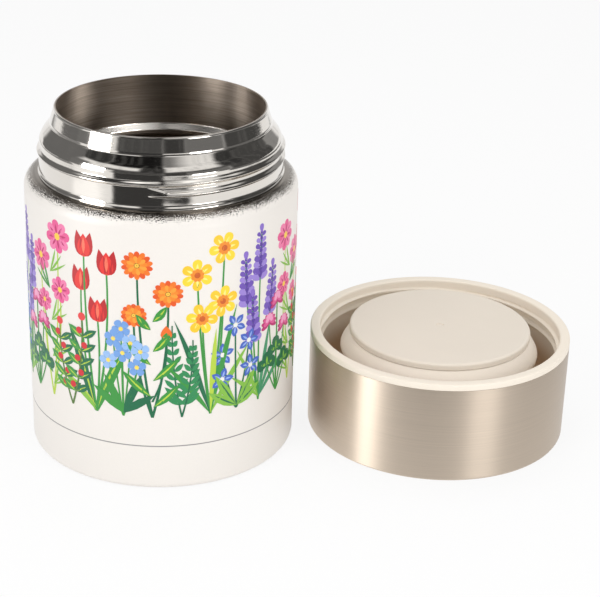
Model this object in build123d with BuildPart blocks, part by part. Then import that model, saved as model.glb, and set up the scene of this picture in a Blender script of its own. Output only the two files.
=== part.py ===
"""Insulated food jar: a double-walled steel vessel with a rolled neck, and its screw lid.

The jar stands upright on z = 0 with its axis on the Z axis. The lid has been unscrewed and lies
crown down beside it on +X, so that its mouth and its stopper face up. Units are millimetres.
"""

from build123d import *
import os

os.makedirs("parts", exist_ok=True)

# Outer shell: a can with a rolled shoulder and a foot that is turned in under the jar.
body_radius = 45.0
shell_wall = 0.6
shoulder_height = 95.5
shoulder_bend = 4.6
shoulder_ledge = 1.2
foot_bend = 2.0
foot_width = 3.2

# Neck ring: one thin sheet, rolled to shape, from the weld on the shoulder up to the rim.
neck_height = 21.7
neck_wall = 0.4
shoulder_width = 5.05
band_height = 4.6
foot_bead = 0.5
foot_bead_height = 1.4
foot_bead_land = 0.55
thread_relief = 0.5
dome_height = 12.4
dome_bend = 4.0
collar_inset = 3.95
collar_height = 16.3
collar_length = 1.3
collar_taper = 0.1
collar_bend = 1.2
rim_inset = 1.3
rim_land = 1.8
soft_bend = 1.0
small_bend = 0.6

# Inner vessel: the neck tube, the conical seat for the stopper's seal, and the wide body.
liner_wall = 0.4
seat_depth = 17.2
seat_step = 1.7
seat_drop = 1.8
throat_length = 1.6
throat_flare = 4.2
throat_bend = 0.7
vacuum_gap = 2.8
liner_shoulder_drop = 8.6
liner_bend = 4.0

# Bottoms: the vessel's floor, the welded outer bottom and the cover plate below it.
floor_height = 9.0
floor_bend = 5.0
floor_weld_height = 16.0
bottom_height = 4.0
bottom_wall = 0.5
bottom_flange = 5.0
bottom_bend = 1.2
cover_clearance = 0.2
cover_plate_wall = 0.6
cover_plate_bend = 0.7
cover_groove_inset = 11.6
cover_groove_width = 2.4
cover_groove_depth = 0.25

# Evacuation port and getter, in the vacuum space between the vessel and the outer bottom.
port_radius = 1.0
port_dimple_radius = 5.0
port_dimple_depth = 1.2
port_seal_radius = 3.0
port_seal_height = 0.9
port_seal_rounding = 0.5
getter_offset = 18.0
getter_radius = 4.0
getter_height = 1.8
clip_wall = 0.4
clip_foot = 1.8
clip_slot = 1.2
clip_slot_length = 13.0

# Radiation shield: a foil sleeve round the vessel's body.
foil_wall = 0.15
foil_margin = 4.0

# Lid, as it lies: the crown is at z = 0 and the mouth is at the top.
lid_gap = 6.3
lid_overhang = 0.2
lid_cover_wall = 0.5
lid_cover_height = 33.5
crown_bend = 0.8
lip_height = 2.25
lip_rounding = 0.8
lip_width = 3.5
lip_bore_height = 3.4
thread_seat_depth = 0.3
well_floor_height = 13.0
well_floor_wall = 1.6
well_bend = 1.0
skirt_wall = 1.8

# Stopper: a moulded cup that is welded under the well's floor and filled with foam.
stopper_gap = 2.4
stopper_wall = 1.6
stopper_clearance = 0.05
nose_height = 36.5
nose_rim = 2.2
nose_rounding = 0.9
gate_mark_radius = 1.4
gate_mark_depth = 0.2
seal_groove_depth = 2.1
seal_groove_height = 10.3
weld_flange_width = 3.0
weld_flange_wall = 1.6
foam_clearance = 0.15

# Seal: a soft ring in the stopper's groove, with a flared skirt that meets the neck's bore.
seal_running_gap = 0.08
seal_end_gap = 0.3
seal_squeeze = 0.6
seal_sleeve = 1.4
seal_root_step = 0.1
seal_skirt_drop = 5.2
seal_skirt_wall = 1.0
seal_edge = 1.2
seal_undercut = 2.0
seal_rounding = 0.4

# Heights and radii that follow from the sizes above.
rim_height = shoulder_height + neck_height
band_radius = body_radius - shoulder_width
collar_radius = band_radius - collar_inset
rim_radius = collar_radius - rim_inset
mouth_radius = rim_radius - neck_wall - liner_wall
shell_bore_radius = body_radius - shell_wall
shoulder_hole_radius = band_radius - neck_wall - shoulder_ledge
thread_root_radius = band_radius - thread_relief
liner_outer_radius = shell_bore_radius - vacuum_gap
liner_radius = liner_outer_radius - liner_wall
seat_height = rim_height - seat_depth
throat_radius = mouth_radius - seat_step
throat_top = seat_height - seat_drop
throat_bottom = throat_top - throat_length
liner_shoulder_height = throat_bottom - liner_shoulder_drop
bottom_top = bottom_height + bottom_wall
cover_plate_radius = body_radius - foot_width - cover_clearance
cover_groove_radius = cover_plate_radius - cover_groove_inset

lid_radius = body_radius + lid_overhang
lid_distance = body_radius + lid_gap + lid_radius
lip_top = lid_cover_height + lip_height
tube_radius = lid_radius - lid_cover_wall
lid_bore_radius = lid_radius - lip_width
thread_seat_radius = lid_bore_radius + thread_seat_depth
stopper_radius = mouth_radius - stopper_gap
seal_radius = mouth_radius + seal_squeeze
stopper_hole_radius = stopper_radius + stopper_clearance
skirt_bore_radius = tube_radius - skirt_wall
groove_radius = stopper_radius - seal_groove_depth
stopper_bore_radius = groove_radius - stopper_wall
groove_top = nose_height - nose_rim
groove_bottom = groove_top - seal_groove_height
seal_top = groove_top - seal_end_gap
seal_bore_radius = groove_radius + seal_running_gap
flange_top = well_floor_height - well_floor_wall
flange_bottom = flange_top - weld_flange_wall
lid_section = Plane(origin=(lid_distance, 0, 0), x_dir=(1, 0, 0), z_dir=(0, -1, 0))
lid_axis = Axis((lid_distance, 0, 0), (0, 0, 1))


# ---------------------------------------------------------------- jar: outer pieces

with BuildPart() as outer_shell:
    with BuildSketch(Plane.XZ):
        with BuildLine():
            shell_line = FilletPolyline(
                (body_radius - foot_width, 0),
                (body_radius, 0),
                (body_radius, shoulder_height),
                (shoulder_hole_radius, shoulder_height),
                radius=[foot_bend, shoulder_bend],
            )
            offset(shell_line, amount=shell_wall, side=Side.LEFT)
        make_face()
    revolve(axis=Axis.Z)

with BuildPart() as neck_ring:
    with BuildSketch(Plane.XZ):
        with BuildLine():
            neck_line = FilletPolyline(
                (band_radius + foot_bead, shoulder_height),
                (band_radius + foot_bead, shoulder_height + foot_bead_land),
                (band_radius, shoulder_height + foot_bead_height),
                (band_radius, shoulder_height + band_height),
                (thread_root_radius, shoulder_height + band_height + thread_relief),
                (thread_root_radius, shoulder_height + dome_height),
                (collar_radius, shoulder_height + collar_height),
                (collar_radius - collar_taper, shoulder_height + collar_height + collar_length),
                (rim_radius, rim_height - rim_land),
                (rim_radius, rim_height),
                radius=[
                    small_bend,
                    small_bend,
                    small_bend,
                    small_bend,
                    dome_bend,
                    collar_bend,
                    soft_bend,
                    soft_bend,
                ],
            )
            offset(neck_line, amount=neck_wall, side=Side.LEFT)
        make_face()
    revolve(axis=Axis.Z)

# ---------------------------------------------------------------- jar: inner vessel

with BuildPart() as inner_vessel:
    with BuildSketch(Plane.XZ):
        with BuildLine():
            liner_line = FilletPolyline(
                (mouth_radius, rim_height),
                (mouth_radius, seat_height),
                (throat_radius, throat_top),
                (throat_radius, throat_bottom),
                (throat_radius + throat_flare, throat_bottom - throat_flare / 2),
                (liner_radius, liner_shoulder_height),
                (liner_radius, floor_weld_height),
                radius=[throat_bend, throat_bend, throat_bend, throat_bend, liner_bend],
            )
            offset(liner_line, amount=liner_wall, side=Side.LEFT)
        make_face()
    revolve(axis=Axis.Z)

with BuildPart() as inner_bottom:
    with BuildSketch(Plane.XZ):
        with BuildLine():
            floor_line = FilletPolyline(
                (0, floor_height),
                (liner_radius, floor_height),
                (liner_radius, floor_weld_height),
                radius=floor_bend,
            )
            offset(floor_line, amount=liner_wall, side=Side.RIGHT)
        make_face()
    revolve(axis=Axis.Z)

with BuildPart() as heat_foil:
    with BuildSketch(Plane.XY.offset(floor_weld_height + foil_margin)):
        Circle(liner_outer_radius + foil_wall)
        Circle(liner_outer_radius, mode=Mode.SUBTRACT)
    extrude(amount=liner_shoulder_height - liner_bend - floor_weld_height - 2 * foil_margin)

# ---------------------------------------------------------------- jar: bottom, port and getter

with BuildPart() as outer_bottom:
    with BuildSketch(Plane.XZ):
        with BuildLine():
            bottom_line = FilletPolyline(
                (port_radius, bottom_height + port_dimple_depth),
                (port_dimple_radius, bottom_height + port_dimple_depth),
                (port_dimple_radius + port_dimple_depth, bottom_height),
                (shell_bore_radius, bottom_height),
                (shell_bore_radius, bottom_height + bottom_flange),
                radius=[small_bend, soft_bend, bottom_bend],
            )
            offset(bottom_line, amount=bottom_wall, side=Side.LEFT)
        make_face()
    revolve(axis=Axis.Z)

with BuildPart() as port_seal:
    with BuildSketch(Plane.XY.offset(bottom_height + port_dimple_depth)):
        Circle(port_seal_radius)
    extrude(amount=-port_seal_height)
    fillet(port_seal.faces().sort_by(Axis.Z)[0].edges(), port_seal_rounding)

with BuildPart() as base_cover:
    with BuildSketch(Plane.XZ):
        with BuildLine():
            cover_line = FilletPolyline(
                (0, 0),
                (cover_plate_radius, 0),
                (cover_plate_radius, bottom_height),
                radius=cover_plate_bend + cover_plate_wall,
            )
            offset(cover_line, amount=cover_plate_wall, side=Side.LEFT)
        make_face()
    revolve(axis=Axis.Z)
    with BuildSketch(Plane.XY):
        Circle(cover_groove_radius + cover_groove_width / 2)
        Circle(cover_groove_radius - cover_groove_width / 2, mode=Mode.SUBTRACT)
    extrude(amount=cover_groove_depth, mode=Mode.SUBTRACT)

with BuildPart() as getter_clip:
    with BuildSketch(Plane.XY.offset(bottom_top)):
        with Locations((getter_offset, 0)):
            Circle(getter_radius + clip_wall + clip_foot)
    extrude(amount=clip_wall)
    with BuildSketch(Plane.XY.offset(bottom_top)):
        with Locations((getter_offset, 0)):
            Circle(getter_radius + clip_wall)
    extrude(amount=clip_wall + getter_height)
    with BuildSketch(Plane.XY.offset(bottom_top + clip_wall)):
        with Locations((getter_offset, 0)):
            Circle(getter_radius)
    extrude(amount=getter_height, mode=Mode.SUBTRACT)
    with BuildSketch(Plane.XY.offset(bottom_top + clip_wall)):
        with Locations((getter_offset, 0)):
            Rectangle(clip_slot_length, clip_slot)
            Rectangle(clip_slot, clip_slot_length)
    extrude(amount=getter_height, mode=Mode.SUBTRACT)

with BuildPart() as getter:
    with BuildSketch(Plane.XY.offset(bottom_top + clip_wall)):
        with Locations((getter_offset, 0)):
            Circle(getter_radius)
    extrude(amount=getter_height)

# ---------------------------------------------------------------- lid: cover and threaded tube

with BuildPart() as lid_cover:
    with BuildSketch(lid_section):
        with BuildLine():
            lid_line = FilletPolyline(
                (0, 0),
                (lid_radius, 0),
                (lid_radius, lid_cover_height),
                radius=crown_bend,
            )
            offset(lid_line, amount=lid_cover_wall, side=Side.LEFT)
        make_face()
    revolve(axis=lid_axis)

with BuildPart() as lid_liner:
    with BuildSketch(lid_section) as liner_profile:
        with BuildLine():
            Polyline(
                (tube_radius - crown_bend, lid_cover_wall),
                (tube_radius, lid_cover_wall + crown_bend),
                (tube_radius, lid_cover_height),
                (lid_radius, lid_cover_height),
                (lid_radius, lip_top),
                (lid_bore_radius, lip_top),
                (lid_bore_radius, lip_top - lip_bore_height),
                (thread_seat_radius, lip_top - lip_bore_height - thread_seat_depth),
                (thread_seat_radius, well_floor_height),
                (stopper_hole_radius, well_floor_height),
                (stopper_hole_radius, flange_top),
                (skirt_bore_radius, flange_top),
                (skirt_bore_radius, lid_cover_wall),
                close=True,
            )
        make_face()
        lip_corners = liner_profile.vertices().group_by(Axis.Y)[-1]
        fillet(lip_corners, lip_rounding)
        well_corner = liner_profile.vertices().sort_by_distance((thread_seat_radius, well_floor_height))[0]
        fillet(well_corner, well_bend)
    revolve(axis=lid_axis)

# ---------------------------------------------------------------- lid: stopper, seal and foam

with BuildPart() as stopper_cup:
    with BuildSketch(lid_section) as cup_profile:
        with BuildLine():
            Polyline(
                (0, nose_height),
                (stopper_radius, nose_height),
                (stopper_radius, groove_top),
                (groove_radius, groove_top),
                (groove_radius, groove_bottom),
                (stopper_radius, groove_bottom),
                (stopper_radius, flange_top),
                (stopper_radius + weld_flange_width, flange_top),
                (stopper_radius + weld_flange_width, flange_bottom),
                (stopper_bore_radius, flange_bottom),
                (stopper_bore_radius, nose_height - stopper_wall),
                (0, nose_height - stopper_wall),
                close=True,
            )
        make_face()
        nose_corner = cup_profile.vertices().sort_by_distance((stopper_radius, nose_height))[0]
        fillet(nose_corner, nose_rounding)
    revolve(axis=lid_axis)
    with BuildSketch(Plane.XY.offset(nose_height)):
        with Locations((lid_distance, 0)):
            Circle(gate_mark_radius)
    extrude(amount=-gate_mark_depth, mode=Mode.SUBTRACT)

with BuildPart() as stopper_seal:
    with BuildSketch(lid_section) as seal_profile:
        with BuildLine():
            Polyline(
                (seal_bore_radius, seal_top),
                (stopper_radius - seal_root_step, seal_top),
                (seal_radius, seal_top - seal_skirt_drop),
                (seal_radius, seal_top - seal_skirt_drop - seal_edge),
                (seal_radius - seal_skirt_wall, seal_top - seal_skirt_drop - seal_edge),
                (seal_bore_radius + seal_sleeve, seal_top - seal_skirt_drop + seal_undercut),
                (seal_bore_radius + seal_sleeve, groove_bottom + seal_end_gap),
                (seal_bore_radius, groove_bottom + seal_end_gap),
                close=True,
            )
        make_face()
        skirt_edge = seal_profile.vertices().group_by(Axis.X)[-1]
        fillet(skirt_edge, seal_rounding)
    revolve(axis=lid_axis)

with BuildPart() as lid_foam:
    with BuildSketch(lid_section):
        with BuildLine():
            Polyline(
                (0, lid_cover_wall + foam_clearance),
                (skirt_bore_radius - foam_clearance, lid_cover_wall + foam_clearance),
                (skirt_bore_radius - foam_clearance, flange_bottom - foam_clearance),
                (stopper_bore_radius - foam_clearance, flange_bottom - foam_clearance),
                (stopper_bore_radius - foam_clearance, nose_height - stopper_wall - foam_clearance),
                (0, nose_height - stopper_wall - foam_clearance),
                close=True,
            )
        make_face()
    revolve(axis=lid_axis)

# ---------------------------------------------------------------- labels and files

pieces = {
    "outer_shell": outer_shell,
    "neck_ring": neck_ring,
    "inner_vessel": inner_vessel,
    "inner_bottom": inner_bottom,
    "heat_foil": heat_foil,
    "outer_bottom": outer_bottom,
    "port_seal": port_seal,
    "base_cover": base_cover,
    "getter_clip": getter_clip,
    "getter": getter,
    "lid_cover": lid_cover,
    "lid_liner": lid_liner,
    "stopper_cup": stopper_cup,
    "stopper_seal": stopper_seal,
    "lid_foam": lid_foam,
}

for name, piece in pieces.items():
    piece.part.label = name
    export_step(piece.part, f"parts/{name}.step")
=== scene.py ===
"""Looks for an insulated food jar and its screw lid.

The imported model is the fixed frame. Pieces that need finer shapes than the solids have, such as the rolled
thread, are turned here and stand in for their nodes. All lengths in the code are millimetres, and MM makes
them metres.
"""

import math

import bpy
from mathutils import Matrix, Vector


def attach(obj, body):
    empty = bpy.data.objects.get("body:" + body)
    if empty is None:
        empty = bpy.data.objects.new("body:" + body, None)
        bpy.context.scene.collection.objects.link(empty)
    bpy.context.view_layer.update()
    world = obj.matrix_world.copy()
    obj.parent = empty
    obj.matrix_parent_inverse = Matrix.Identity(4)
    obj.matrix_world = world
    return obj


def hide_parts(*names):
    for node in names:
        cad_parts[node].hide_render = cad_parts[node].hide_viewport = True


bl_info = {
    "name": "Insulated food jar",
    "version": (1, 0, 0),
    "blender": (4, 5, 0),
    "location": "3D View > Sidebar > Food jar",
    "description": "Turned steel, moulded plastic and a printed floral band for a food jar and its lid",
    "category": "Object",
}

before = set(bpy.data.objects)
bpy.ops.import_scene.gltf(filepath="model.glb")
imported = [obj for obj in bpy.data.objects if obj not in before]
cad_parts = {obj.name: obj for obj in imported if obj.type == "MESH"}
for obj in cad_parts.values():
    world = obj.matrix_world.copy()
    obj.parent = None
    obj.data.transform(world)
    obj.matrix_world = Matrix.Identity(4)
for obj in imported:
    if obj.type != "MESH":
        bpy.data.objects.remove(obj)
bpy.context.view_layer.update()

MM = 0.001
TAU = 2 * math.pi
STEPS = 256  # faces round a turned piece


def ink(red, green, blue):
    """A colour written as on a screen, 0 to 255, as the linear numbers that a shader takes."""

    def linear(value):
        value /= 255
        return value / 12.92 if value <= 0.04045 else ((value + 0.055) / 1.055) ** 2.4

    return linear(red), linear(green), linear(blue)


def size(name, description, default, least=0.0):
    """A length that the sidebar shows, in millimetres unless the description says otherwise."""
    return bpy.props.FloatProperty(
        name=name, description=description, default=default, min=least, precision=2
    )


def colour(name, description, *screen):
    """A colour that the sidebar shows."""
    return bpy.props.FloatVectorProperty(
        name=name, description=description, subtype="COLOR", size=3, min=0.0, max=1.0, default=ink(*screen)
    )


# ---------------------------------------------------------------- sizes and colours


class JarSizes(bpy.types.PropertyGroup):
    """Sizes of the jar's own pieces, in millimetres."""

    body: size("Body", "Radius of the coated shell", 45.0)
    ground: size("Ground", "Height of the ground line that the printed plants stand on", 26.5)
    ink: size("Ink", "Depth of the ink's layer, which reaches into the coat", 0.15)
    shoulder: size("Shoulder", "Height of the shoulder that the neck is welded to", 95.5)
    rim: size("Rim", "Height of the rolled rim", 117.2)
    band: size("Band", "Radius of the neck's smooth band", 39.95)
    crest: size("Thread crest", "Radius of the thread's ridge", 40.5)
    pitch: size("Pitch", "Rise of the thread for each turn", 3.5)
    ridge: size("Ridge", "Width of the rolled ridge", 2.7)
    turns: size("Turns", "Length of the thread in turns", 1.9, 0.5)
    relief: size("Relief", "How far the sheet stands back between the thread's turns", 0.5)
    bead: size("Foot bead", "How far the neck's foot stands out over the band", 0.5)
    dome: size("Dome", "Height at which the neck turns in to its dome", 107.9)
    collar: size("Collar", "Radius of the collar above the dome", 36.0)
    collar_foot: size("Collar foot", "Height at which the dome meets the collar", 111.8)
    lip: size("Rim radius", "Outside of the rolled rim", 34.7)
    sheet: size("Sheet", "Thickness of the neck's sheet", 0.4)


class JarColours(bpy.types.PropertyGroup):
    """Colours of the jar's finishes."""

    coat: colour("Coat", "Powder coat of the shell", 239, 234, 228)
    line: colour("Line", "Thin printed line above the foot", 112, 110, 112)
    bare: colour("Bare steel", "Brushed steel at the shoulder", 138, 131, 123)
    polish: colour("Polish", "Mirror-polished neck", 231, 226, 219)
    # Painted shade: the bore's steel is written darker than the polish, standing in for the dark
    # surroundings it reflects deep in the neck.
    bore: colour("Bore", "Brushed steel inside the neck", 166, 153, 140)
    foil: colour("Foil", "Foil round the inner vessel", 232, 232, 235)


class LidSizes(bpy.types.PropertyGroup):
    """Sizes of the lid's pieces as it lies on its crown, in millimetres."""

    distance: size("Distance", "From the jar's axis to the lid's", 96.5)
    radius: size("Radius", "Outside of the lid", 45.2)
    edge: size("Steel edge", "Height of the steel cover's edge", 33.5)
    lip: size("Lip", "Height of the moulded lip", 35.75)
    bore: size("Bore", "Radius inside the lip", 41.7)
    seat: size("Thread root", "Radius of the bore between the thread's ridges", 42.0)
    ridge: size("Ridge", "Width of the thread's ridge in the bore", 1.7)
    ridge_depth: size("Ridge depth", "How far the ridge stands into the bore", 1.1)
    turns: size("Turns", "Length of the bore's ridge in turns", 1.8, 0.5)
    well: size("Well", "Height of the well's floor", 13.0)
    nose: size("Nose", "Height of the stopper's face", 36.5)
    stopper: size("Stopper", "Radius of the stopper", 31.5)
    skirt: size("Skirt", "Widest radius of the soft seal", 34.5)


class LidColours(bpy.types.PropertyGroup):
    """Colours of the lid's finishes."""

    steel: colour("Steel", "Brushed cover of the lid", 212, 197, 180)
    lip: colour("Lip", "Moulded lip and bore", 244, 234, 219)
    nose: colour("Nose", "Moulded stopper", 231, 221, 207)
    seal: colour("Seal", "Silicone ring", 240, 230, 217)


# ---------------------------------------------------------------- shader expressions


def maths(operation):
    """A method of Wire that adds a Math node."""
    return lambda self, *other: self.math(operation, self, *other)


class Wire:
    """The output of a shader node. Operators on it add Math nodes, so a pattern reads as its formula."""

    def __init__(self, finish, socket):
        self.finish, self.socket = finish, socket

    def math(self, operation, *values):
        return self.finish.node("ShaderNodeMath", {"operation": operation}, dict(enumerate(values)))

    __add__ = __radd__ = maths("ADD")
    __sub__ = maths("SUBTRACT")
    __mul__ = __rmul__ = maths("MULTIPLY")
    __pow__ = maths("POWER")
    __lt__ = maths("LESS_THAN")
    __abs__ = maths("ABSOLUTE")

    def __rsub__(self, other):
        return self.math("SUBTRACT", other, self)

    def __neg__(self):
        return self.math("MULTIPLY", self, -1.0)

    def rise(self, low, high, start=0.0, end=1.0):
        """start below low, end above high, and a smooth change between."""
        return self.finish.node(
            "ShaderNodeMapRange",
            {"interpolation_type": "SMOOTHSTEP"},
            {"Value": self, "From Min": low, "From Max": high, "To Min": start, "To Max": end},
        )

    def fall(self, low, high):
        """1 below low, 0 above high, and a smooth change between."""
        return self.rise(low, high, 1.0, 0.0)

    def between(self, low, high, soft):
        """1 from low to high and 0 outside, over edges that reach soft to either side."""
        return self.rise(low - soft, low + soft) * self.fall(high - soft, high + soft)


def greatest(first, *others):
    """The greatest of several values at each point."""
    for other in others:
        first = first.math("MAXIMUM", first, other)
    return first


class Tree:
    """A node tree that expressions are built in."""

    def __init__(self, tree):
        self.tree = tree
        tree.nodes.clear()

    def node(self, kind, settings, values, out=0):
        """Adds a node. settings are its own properties, and values are numbers or wires for its sockets."""
        made = self.tree.nodes.new(kind)
        for key, value in settings.items():
            setattr(made, key, value)
        for key, value in values.items():
            if isinstance(value, Wire):
                self.tree.links.new(value.socket, made.inputs[key])
            else:
                made.inputs[key].default_value = value
        return Wire(self, made.outputs[out]) if made.outputs else None

    def coordinates(self, kind):
        return self.node("ShaderNodeTexCoord", {}, {}, out=kind)

    def vector(self, *axes):
        return self.node("ShaderNodeCombineXYZ", {}, dict(enumerate(axes)))

    def axes(self, point):
        """The x, y and z of a point."""
        split = self.node("ShaderNodeSeparateXYZ", {}, {"Vector": point}).socket.node
        return tuple(Wire(self, output) for output in split.outputs)

    def noise(self, point, scale=1.0, detail=2.0, rough=0.5):
        """Soft clouds, 0 to 1, that repeat about every 1 / scale millimetres."""
        sockets = {"Vector": point, "Scale": scale, "Detail": detail, "Roughness": rough}
        return self.node("ShaderNodeTexNoise", {}, sockets)

    def rays(self, *kinds):
        """1 for the named kinds of ray, such as Is Camera Ray, and 0 for the rest."""
        path = self.node("ShaderNodeLightPath", {}, {}).socket.node
        return greatest(*(Wire(self, path.outputs[kind]) for kind in kinds))


class Finish(Tree):
    """A material that is put together from expressions."""

    def __init__(self, name, metallic=0.0, roughness=0.5, **constants):
        self.material = bpy.data.materials.new(name)
        self.material.use_nodes = True
        super().__init__(self.material.node_tree)
        self.shader = self.tree.nodes.new("ShaderNodeBsdfPrincipled")
        self.output = self.tree.nodes.new("ShaderNodeOutputMaterial")
        self.tree.links.new(self.shader.outputs["BSDF"], self.output.inputs["Surface"])
        self.set("Metallic", metallic)
        self.set("Roughness", roughness)
        for key, value in constants.items():
            self.set(key.replace("_", " "), value)

    def set(self, key, value):
        """Links or writes one socket of the shader."""
        if isinstance(value, Wire):
            self.tree.links.new(value.socket, self.shader.inputs[key])
        elif key in ("Base Color", "Specular Tint", "Sheen Tint"):
            self.shader.inputs[key].default_value = (*value, 1.0)
        else:
            self.shader.inputs[key].default_value = value

    def place(self, *centre):
        """The point on the object in millimetres, from centre."""
        shift = tuple(-c for c in centre) or (0.0, 0.0, 0.0)
        sockets = {"Vector": self.coordinates("Object"), "Location": shift, "Scale": (1 / MM,) * 3}
        return self.node("ShaderNodeMapping", {"vector_type": "POINT"}, sockets)

    def streaks(self, point, scale, detail=2.0, rough=0.5):
        """Noise that is stretched, by a scale along each axis."""
        stretched = self.node("ShaderNodeVectorMath", {"operation": "MULTIPLY"}, {0: point, 1: scale})
        return self.noise(stretched, 1.0, detail, rough)

    def mix(self, share, first, second):
        """A colour between first and second."""
        first, second = ((*c, 1.0) if isinstance(c, tuple) else c for c in (first, second))
        return self.node("ShaderNodeMix", {"data_type": "RGBA"}, {0: share, 6: first, 7: second}, out=2)

    def shade(self, tone, base, low, high):
        """base, darker where tone is 0 and lighter where it is 1."""
        return self.mix(tone, tuple(c * low for c in base), tuple(min(c * high, 1.0) for c in base))

    def bump(self, height, depth, below=None):
        """height, 0 to 1, as a relief of depth millimetres."""
        values = {"Height": height, "Distance": depth * MM, "Strength": 1.0}
        if below is not None:
            values["Normal"] = below
        return self.node("ShaderNodeBump", {}, values)

    def surface(self, tint, roughness, height=None, depth=0.0):
        """Sets the colour and the roughness, and where height is given a relief of depth millimetres."""
        self.set("Base Color", tint)
        self.set("Roughness", roughness)
        if height is not None:
            self.set("Normal", self.bump(height, depth))

    def on(self, *pieces):
        """Gives the material to pieces, or to the frame's nodes by their names."""
        for piece in pieces:
            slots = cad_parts.get(piece, piece).data.materials
            slots.clear()
            slots.append(self.material)


# ---------------------------------------------------------------- modelling

SAME, JOINED = 1e-7, 2e-6  # metres within which a vertex is at a place, and a spin's ends are merged


def fresh():
    """Leaves edit mode and deselects everything, so that an operator acts only on what comes next."""
    if bpy.context.object and bpy.context.object.mode != "OBJECT":
        bpy.ops.object.mode_set(mode="OBJECT")
    bpy.ops.object.select_all(action="DESELECT")


def everything():
    """In edit mode, selects the whole mesh."""
    bpy.ops.mesh.select_all(action="SELECT")


def pick(piece, wanted):
    """In edit mode, selects only the vertices that wanted says yes to."""
    bpy.ops.mesh.select_mode(type="VERT")
    bpy.ops.mesh.select_all(action="DESELECT")
    bpy.ops.object.mode_set(mode="OBJECT")
    for vertex in piece.data.vertices:
        vertex.select = bool(wanted(vertex.co))
    bpy.ops.object.mode_set(mode="EDIT")


def add(name, data):
    """Puts an object in the scene."""
    made = bpy.data.objects.new(name, data)
    bpy.context.scene.collection.objects.link(made)
    return made


def take(*pieces):
    """Selects only the pieces and makes the first the active one."""
    fresh()
    for piece in pieces:
        piece.select_set(True)
    bpy.context.view_layer.objects.active = pieces[0]


def smooth(piece, degrees=35):
    """Shades a piece smooth, apart from edges that are sharper than degrees."""
    take(piece)
    bpy.ops.object.shade_smooth_by_angle(angle=math.radians(degrees))


def chain(name, corners, closed, segments):
    """A wire that runs through corners, each (x, z, bend), with the corner rounded over bend millimetres of
    both edges."""
    fresh()
    bpy.ops.mesh.primitive_plane_add(size=MM)
    wire = bpy.context.object
    wire.name = name
    places = [Vector((x * MM, 0, z * MM)) for x, z, _ in corners]
    bpy.ops.object.mode_set(mode="EDIT")
    everything()
    bpy.ops.mesh.merge(type="CENTER")
    bpy.ops.transform.translate(value=places[0])
    for here, there in zip(places, places[1:]):
        bpy.ops.mesh.extrude_vertices_move(TRANSFORM_OT_translate={"value": there - here})
    if closed:
        pick(wire, lambda co: min((co - places[0]).length, (co - places[-1]).length) < SAME)
        bpy.ops.mesh.edge_face_add()
    for place, (_, _, bend) in zip(places, corners):
        if bend:
            pick(wire, lambda co: (co - place).length < SAME)
            bpy.ops.mesh.bevel(offset=bend * MM, affect="VERTICES", segments=segments, profile=0.5)
    return wire


def turned(name, corners, centre=0.0, closed=True, segments=6, steps=STEPS):
    """A piece turned about the upright axis at x = centre."""
    piece = chain(name, [(x + centre, z, bend) for x, z, bend in corners], closed, segments)
    everything()
    bpy.ops.mesh.spin(steps=steps, angle=TAU, center=(centre * MM, 0, 0), axis=(0, 0, 1))
    everything()
    bpy.ops.mesh.remove_doubles(threshold=JOINED)
    everything()
    bpy.ops.mesh.normals_make_consistent(inside=False)
    smooth(piece)
    return piece


def thicken(piece, thickness):
    """Gives a turned sheet its thickness, inward from the face that was modelled."""
    faces = piece.data.polygons
    outward = sum(face.normal.dot(Vector((face.center.x, face.center.y, 0))) for face in faces) > 0
    take(piece)
    bpy.ops.object.modifier_add(type="SOLIDIFY")
    sheet = piece.modifiers[-1]
    sheet.thickness, sheet.use_even_offset = thickness * MM, True
    sheet.offset = -1.0 if outward else 1.0
    bpy.ops.object.modifier_apply(modifier=sheet.name)
    bpy.ops.object.mode_set(mode="EDIT")
    everything()
    bpy.ops.mesh.normals_make_consistent(inside=False)
    fresh()


def ease(share):
    """0 to 1 with a smooth start and end."""
    share = min(max(share, 0.0), 1.0)
    return share * share * (3 - 2 * share)


# ---------------------------------------------------------------- operators


class Piece(bpy.types.Operator):
    """What the operators share: each makes or finishes its pieces from the sizes and the colours."""

    bl_options = {"REGISTER", "UNDO"}

    def execute(self, context):
        scene = context.scene
        self.make(scene.jar_sizes, scene.jar_colours, scene.lid_sizes, scene.lid_colours)
        return {"FINISHED"}


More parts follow.
